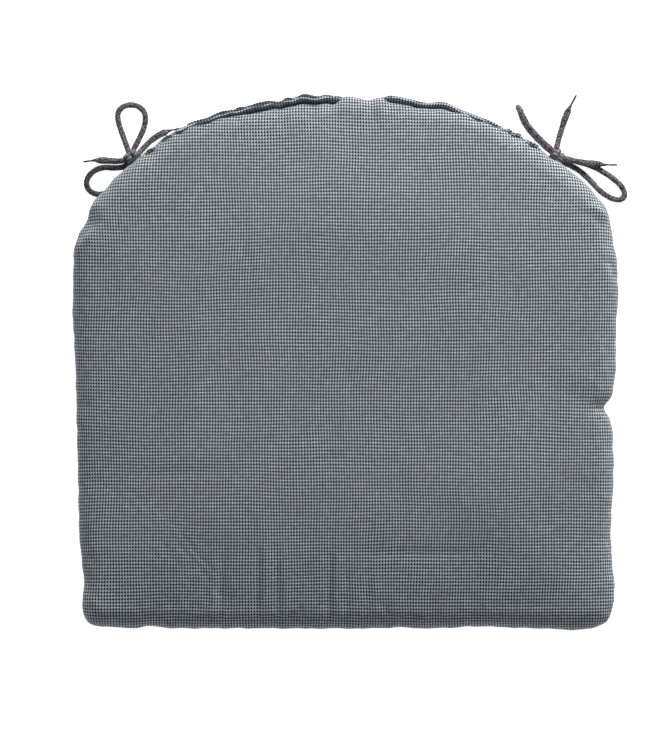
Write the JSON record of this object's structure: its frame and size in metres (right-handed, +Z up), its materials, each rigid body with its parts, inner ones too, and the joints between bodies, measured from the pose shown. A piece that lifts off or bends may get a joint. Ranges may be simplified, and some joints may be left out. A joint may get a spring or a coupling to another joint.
{
  "type": "chair seat pad",
  "caption": "D-shaped padded chair seat pad with an arched back edge, a zipped removable cover and a tied cord bow at each back corner.",
  "frame": {"origin": "on the surface the pad lies on, under the middle of the pad", "axes": "+Z up, -Y towards the straight front edge, +Y towards the arched and zipped back edge, +X to the right"},
  "size_m": [0.5187, 0.4996, 0.055],
  "materials": {
    "cover_fabric": "basket-woven heather grey fabric, matt",
    "fibre_wadding": "white polyester fibre",
    "foam": "open-cell foam",
    "zip_tape": "woven tape",
    "zip_coil": "nylon coil",
    "zip_metal": "dark enamel",
    "thread": "sewing thread",
    "cord": "braided heather cord",
    "cord_tip": "melted and sealed braid"
  },
  "bodies": {
    "pad": {"cover_bottom_panel": "cover_fabric", "cover_top_panel": "cover_fabric", "foam_core": "foam", "left_bow_knot": "cord", "left_tie_1_loop": "cord", "left_tie_1_stem": "cord", "left_tie_1_tail": "cord", "left_tie_1_tip": "cord_tip", "left_tie_2_loop": "cord", "left_tie_2_stem": "cord", "left_tie_2_tail": "cord", "left_tie_2_tip": "cord_tip", "left_tie_bartack": "thread", "right_bow_knot": "cord", "right_tie_1_loop": "cord", "right_tie_1_stem": "cord", "right_tie_1_tail": "cord", "right_tie_1_tip": "cord_tip", "right_tie_2_loop": "cord", "right_tie_2_stem": "cord", "right_tie_2_tail": "cord", "right_tie_2_tip": "cord_tip", "right_tie_bartack": "thread", "wadding_bottom": "fibre_wadding", "wadding_top": "fibre_wadding", "zip_bottom_stop": "zip_metal", "zip_coil_lower": "zip_coil", "zip_coil_upper": "zip_coil", "zip_facing_lower": "cover_fabric", "zip_facing_upper": "cover_fabric", "zip_tape_lower": "zip_tape", "zip_tape_upper": "zip_tape", "zip_top_stops": "zip_metal"},
    "slider": {"zip_slider": "zip_metal"},
    "pull": {"zip_pull_tab": "zip_metal"}
  },
  "joints": [
    {"name": "zip_travel", "type": "hinge", "parent": "pad", "child": "slider", "pos_m": [0, -0.171, 0.0275], "axis": [0, 0, 1], "range_deg": [0, 34.3]},
    {"name": "pull_swing", "type": "hinge", "parent": "slider", "child": "pull", "pos_m": [0.12702, 0.22461, 0.0275], "axis": [0, 0, -1], "range_deg": [0, 150]}
  ]
}
